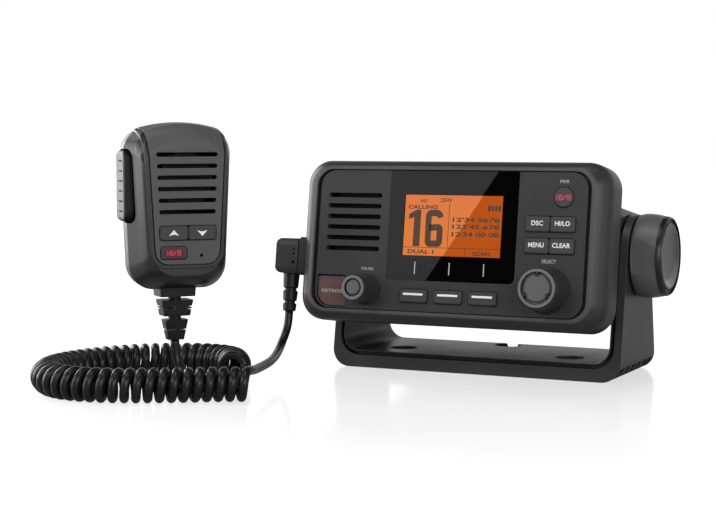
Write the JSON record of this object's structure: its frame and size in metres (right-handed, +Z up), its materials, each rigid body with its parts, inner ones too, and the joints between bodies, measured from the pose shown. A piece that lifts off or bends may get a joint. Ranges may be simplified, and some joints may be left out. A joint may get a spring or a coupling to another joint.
{
  "type": "fixed-mount marine radio",
  "caption": "Fixed-mount marine VHF radio with a colour display, keys and knobs, tilting on a U bracket, and a fist microphone on a curly cord.",
  "frame": {"origin": "centre of the underside of the mounting bracket, on the surface that the radio stands on", "axes": "+X to the right along the head's width and its tilt axis, +Y towards the rear of the head, +Z up"},
  "size_m": [0.2835, 0.2737, 0.1339],
  "materials": {
    "bracket_plastic": "fine moulded texture",
    "case_plastic": "satin",
    "panel_plastic": "satin",
    "cord_rubber": "smooth matte",
    "key_rubber": "matte",
    "display_window": "gloss",
    "display_glass": "gloss",
    "distress_red": "gloss",
    "circuit_board": "solder mask",
    "plain_steel": "plain",
    "plated_brass": "plated"
  },
  "bodies": {
    "root": {"mount_bracket": "bracket_plastic", "tilt_discs": "bracket_plastic", "cord_plug_run": "cord_rubber", "cord_coil": "cord_rubber", "cord_mic_run": "cord_rubber"},
    "head": {"front_bezel": "case_plastic", "front_panel": "panel_plastic", "display_lens": "display_window", "lcd_module": "display_glass", "speaker": "plain_steel", "key_board": "circuit_board", "volume_encoder": "plain_steel", "select_encoder": "plain_steel", "main_board": "circuit_board", "radio_shield": "plain_steel", "case_gasket": "key_rubber", "housing_flange": "case_plastic", "rear_housing": "case_plastic", "housing_screws": "plain_steel", "pivot_inserts": "plated_brass", "antenna_socket": "plated_brass", "power_inlet": "case_plastic", "power_pins": "plated_brass", "cover_hinge_pin": "plain_steel", "mic_socket": "case_plastic", "mic_plug": "case_plastic", "plug_strain_relief": "cord_rubber"},
    "clamp_right": {"clamp_knob_right": "case_plastic", "clamp_cap_right": "panel_plastic", "clamp_stud_right": "plain_steel"},
    "clamp_left": {"clamp_knob_left": "case_plastic", "clamp_cap_left": "panel_plastic", "clamp_stud_left": "plain_steel"},
    "volume_knob": {"volume_knob": "panel_plastic"},
    "volume_button": {"volume_button": "panel_plastic"},
    "select_knob": {"select_knob": "panel_plastic"},
    "select_button": {"select_button": "panel_plastic"},
    "soft_key_left": {"soft_key_left": "key_rubber"},
    "soft_key_middle": {"soft_key_middle": "key_rubber"},
    "soft_key_right": {"soft_key_right": "key_rubber"},
    "key_call": {"key_call": "key_rubber"},
    "key_power_level": {"key_power_level": "key_rubber"},
    "key_menu": {"key_menu": "key_rubber"},
    "key_clear": {"key_clear": "key_rubber"},
    "key_channel_sixteen": {"key_channel_sixteen": "key_rubber"},
    "distress_cover": {"distress_cover": "panel_plastic"},
    "distress_button": {"distress_button": "distress_red"},
    "microphone": {"mic_front_case": "case_plastic", "mic_rear_case": "case_plastic", "mic_face_plate": "panel_plastic", "mic_board": "circuit_board", "mic_speaker": "plain_steel", "mic_screws": "plain_steel", "mic_hanger_button": "plain_steel", "mic_strain_relief": "cord_rubber"},
    "mic_key_up": {"mic_key_up": "key_rubber"},
    "mic_key_down": {"mic_key_down": "key_rubber"},
    "mic_key_sixteen": {"mic_key_sixteen": "key_rubber"},
    "mic_ptt_lever": {"mic_ptt_lever": "case_plastic"}
  },
  "joints": [
    {"name": "head_tilt", "type": "hinge", "parent": "root", "child": "head", "pos_m": [0, 0, 0.064], "axis": [1, 0, 0], "range_deg": [-12, 12], "deforming": ["cord_plug_run"]},
    {"name": "clamp_right_turn", "type": "hinge", "parent": "head", "child": "clamp_right", "pos_m": [0.09, 0, 0.064], "axis": [-1, 0, 0], "range_deg": [0, 360]},
    {"name": "clamp_left_turn", "type": "hinge", "parent": "head", "child": "clamp_left", "pos_m": [-0.09, 0, 0.064], "axis": [1, 0, 0], "range_deg": [0, 360]},
    {"name": "volume_turn", "type": "hinge", "parent": "head", "child": "volume_knob", "pos_m": [-0.0445, -0.07737, 0.04808], "axis": [0, 0.9892, -0.1468], "continuous": true},
    {"name": "volume_push", "type": "slide", "parent": "volume_knob", "child": "volume_button", "axis": [0, 0.9892, -0.1468], "range_m": [0, 0.0008], "stiffness_N_per_m": 600},
    {"name": "select_turn", "type": "hinge", "parent": "head", "child": "select_knob", "pos_m": [0.0555, -0.07687, 0.05145], "axis": [0, 0.9892, -0.1468], "continuous": true},
    {"name": "select_push", "type": "slide", "parent": "select_knob", "child": "select_button", "axis": [0, 0.9892, -0.1468], "range_m": [0, 0.0008], "stiffness_N_per_m": 600},
    {"name": "soft_key_left_press", "type": "slide", "parent": "head", "child": "soft_key_left", "axis": [0, 0.9892, -0.1468], "range_m": [0, 0.0008], "stiffness_N_per_m": 600},
    {"name": "soft_key_middle_press", "type": "slide", "parent": "head", "child": "soft_key_middle", "axis": [0, 0.9892, -0.1468], "range_m": [0, 0.0008], "stiffness_N_per_m": 600},
    {"name": "soft_key_right_press", "type": "slide", "parent": "head", "child": "soft_key_right", "axis": [0, 0.9892, -0.1468], "range_m": [0, 0.0008], "stiffness_N_per_m": 600},
    {"name": "key_call_press", "type": "slide", "parent": "head", "child": "key_call", "axis": [0, 0.9892, -0.1468], "range_m": [0, 0.0008], "stiffness_N_per_m": 600},
    {"name": "key_power_level_press", "type": "slide", "parent": "head", "child": "key_power_level", "axis": [0, 0.9892, -0.1468], "range_m": [0, 0.0008], "stiffness_N_per_m": 600},
    {"name": "key_menu_press", "type": "slide", "parent": "head", "child": "key_menu", "axis": [0, 0.9892, -0.1468], "range_m": [0, 0.0008], "stiffness_N_per_m": 600},
    {"name": "key_clear_press", "type": "slide", "parent": "head", "child": "key_clear", "axis": [0, 0.9892, -0.1468], "range_m": [0, 0.0008], "stiffness_N_per_m": 600},
    {"name": "key_channel_sixteen_press", "type": "slide", "parent": "head", "child": "key_channel_sixteen", "axis": [0, 0.9892, -0.1468], "range_m": [0, 0.0008], "stiffness_N_per_m": 600},
    {"name": "cover_open", "type": "hinge", "parent": "head", "child": "distress_cover", "pos_m": [-0.0646, -0.06667, 0.05206], "axis": [-1, 0, 0], "range_deg": [0, 95], "stiffness_Nm_per_rad": 0.002},
    {"name": "distress_press", "type": "slide", "parent": "head", "child": "distress_button", "axis": [0, 0.9892, -0.1468], "range_m": [0, 0.0008], "stiffness_N_per_m": 600},
    {"name": "mic_lift", "type": "slide", "parent": "root", "child": "microphone", "axis": [0, 0, 1], "range_m": [0, 0.025], "deforming": ["cord_mic_run"]},
    {"name": "mic_key_up_press", "type": "slide", "parent": "microphone", "child": "mic_key_up", "axis": [-0.7604, 0.6494, 0], "range_m": [0, 0.0008], "stiffness_N_per_m": 600},
    {"name": "mic_key_down_press", "type": "slide", "parent": "microphone", "child": "mic_key_down", "axis": [-0.7604, 0.6494, 0], "range_m": [0, 0.0008], "stiffness_N_per_m": 600},
    {"name": "mic_key_sixteen_press", "type": "slide", "parent": "microphone", "child": "mic_key_sixteen", "axis": [-0.7604, 0.6494, 0], "range_m": [0, 0.0008], "stiffness_N_per_m": 600},
    {"name": "ptt_press", "type": "hinge", "parent": "microphone", "child": "mic_ptt_lever", "pos_m": [-0.12754, -0.16869, 0.0905], "axis": [-0.7604, 0.6494, 0], "range_deg": [0, 3], "stiffness_Nm_per_rad": 0.5}
  ]
}
